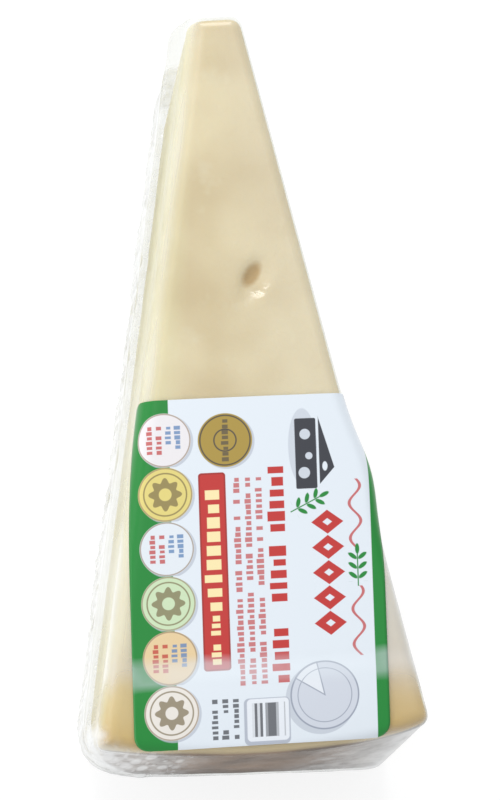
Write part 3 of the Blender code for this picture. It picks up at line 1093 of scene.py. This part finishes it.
def print_bars(tree, color, sheet):
    """A white round-cornered square with a grey edge and plain dark bars."""
    square = sheet.turned(1.4, -35.4)
    color = printed(tree, color, SHADE, square.turned(-0.2, -0.3).box(-5.4, 5.4, -5.4, 5.4, 1.2))
    color = printed(tree, color, srgb(228, 232, 238), square.box(-4.9, 4.9, -4.9, 4.9, 1.0))
    count = (square.u * 1.6).math("FLOOR")
    chance = random_field(count, count)
    bars = (chance - 0.45).least(square.box(-4.0, 4.0, -3.9, 3.9))
    return printed(tree, color, CHARCOAL, bars, 0.85)


def label_material():
    """Glossy white paper with green side bands and plain printed shapes, with a painted reflection across it at
    the crease.
    """
    material, tree, output = new_material("label_print")
    sheet = Sheet(attribute_field(tree, "across"), attribute_field(tree, "along"))
    color = paint(tree, WHITE, GREEN, sheet.u.ramp(-19.75 + EDGE, -19.75 - EDGE))
    color = paint(tree, color, GREEN, sheet.u.ramp(27.0 - EDGE, 27.0 + EDGE))
    for printing in (print_spots, print_seal, print_banner, print_texts, print_ornament,
                     print_wedge, print_wheel, print_bars):
        color = printing(tree, color, sheet)
    station = attribute_field(tree, "station")
    cloud = noise_field(tree, 120.0, 2.0)
    # painted reflection: a pale milky band painted across the label where it crosses the crease
    rising = (station + cloud * 0.0016).ramp(0.1868, 0.1892)
    falling = (station + cloud * 0.0016).ramp(0.1952, 0.1932)
    painted_reflection = rising.least(falling) * (cloud.ramp(0.3, 0.7) * 0.2 + 0.22)
    color = paint(tree, color, srgb(214, 222, 228), painted_reflection)
    shader = add_node(tree, "ShaderNodeBsdfPrincipled", Base_Color=color, Roughness=0.35)
    shader.inputs["Coat Weight"].default_value = 0.25
    shader.inputs["Coat Roughness"].default_value = 0.2
    tree.links.new(shader.outputs["BSDF"], output.inputs["Surface"])
    return material


# The floor, the lights and the camera

def make_floor():
    bpy.ops.mesh.primitive_plane_add(size=14.0, location=(0.0, 0.0, -0.0003))
    floor = bpy.context.object
    floor.name = "floor"
    material, tree, output = new_material("floor")
    shader = add_node(tree, "ShaderNodeBsdfPrincipled", Roughness=0.8)
    shader.inputs["Base Color"].default_value = (0.25, 0.25, 0.25, 1.0)
    shader.inputs["Emission Color"].default_value = (1.0, 1.0, 1.0, 1.0)
    shader.inputs["Emission Strength"].default_value = FLOOR_GLOW
    tree.links.new(shader.outputs["BSDF"], output.inputs["Surface"])
    floor.data.materials.append(material)


def make_area_light(name, place, aim, width, height, power):
    light = bpy.data.lights.new(name, "AREA")
    light.shape = "RECTANGLE"
    light.size = width
    light.size_y = height
    light.energy = power
    made = bpy.data.objects.new(name, light)
    bpy.context.scene.collection.objects.link(made)
    made.location = place
    made.rotation_euler = (Vector(aim) - Vector(place)).to_track_quat("-Z", "Y").to_euler()
    made.visible_camera = False
    return made


def make_lights():
    middle = (0.0, 0.0, 0.08)
    make_area_light("key", (-0.15, 0.85, 1.10), middle, 0.75, 0.6, 10.4)
    make_area_light("left_fill", (-1.1, -0.1, 0.6), middle, 0.9, 0.7, 3.0)
    make_area_light("glint", (-0.9, -0.7, 0.55), middle, 0.25, 0.25, 1.6)
    world = bpy.data.worlds.new("soft_room")
    world.use_nodes = True
    world.node_tree.nodes["Background"].inputs["Color"].default_value = (0.95, 0.975, 1.0, 1.0)
    world.node_tree.nodes["Background"].inputs["Strength"].default_value = 0.62
    bpy.context.scene.world = world


def make_camera(plan):
    camera = bpy.data.cameras.new("camera")
    camera.lens = CAMERA_LENS
    camera.sensor_width = 36.0
    camera.clip_start = 0.05
    camera.clip_end = 50.0
    made = bpy.data.objects.new("camera", camera)
    bpy.context.scene.collection.objects.link(made)
    aim = Vector((plan.x + AIM_X, plan.y - AIM_STATION, DEPTH))
    made.matrix_world = (Matrix.Translation(aim) @ Matrix.Rotation(-CAMERA_LEFT, 4, "Y")
                         @ Matrix.Rotation(CAMERA_BACK, 4, "X") @ Matrix.Rotation(-CAMERA_ROLL, 4, "Z")
                         @ Matrix.Translation((0.0, 0.0, CAMERA_DISTANCE)))
    bpy.context.scene.camera = made


def main():
    for old in list(bpy.data.objects):
        bpy.data.objects.remove(old, do_unlink=True)
    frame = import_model()
    plan = find_plan(frame["nodes"])
    for piece, node in ((make_cheese(plan), BAG), (make_film(plan), BAG), (make_label(plan), LABEL)):
        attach(piece, "root")
        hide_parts(node)
    make_floor()
    make_lights()
    make_camera(plan)
    bpy.context.scene.view_settings.view_transform = "Standard"


main()
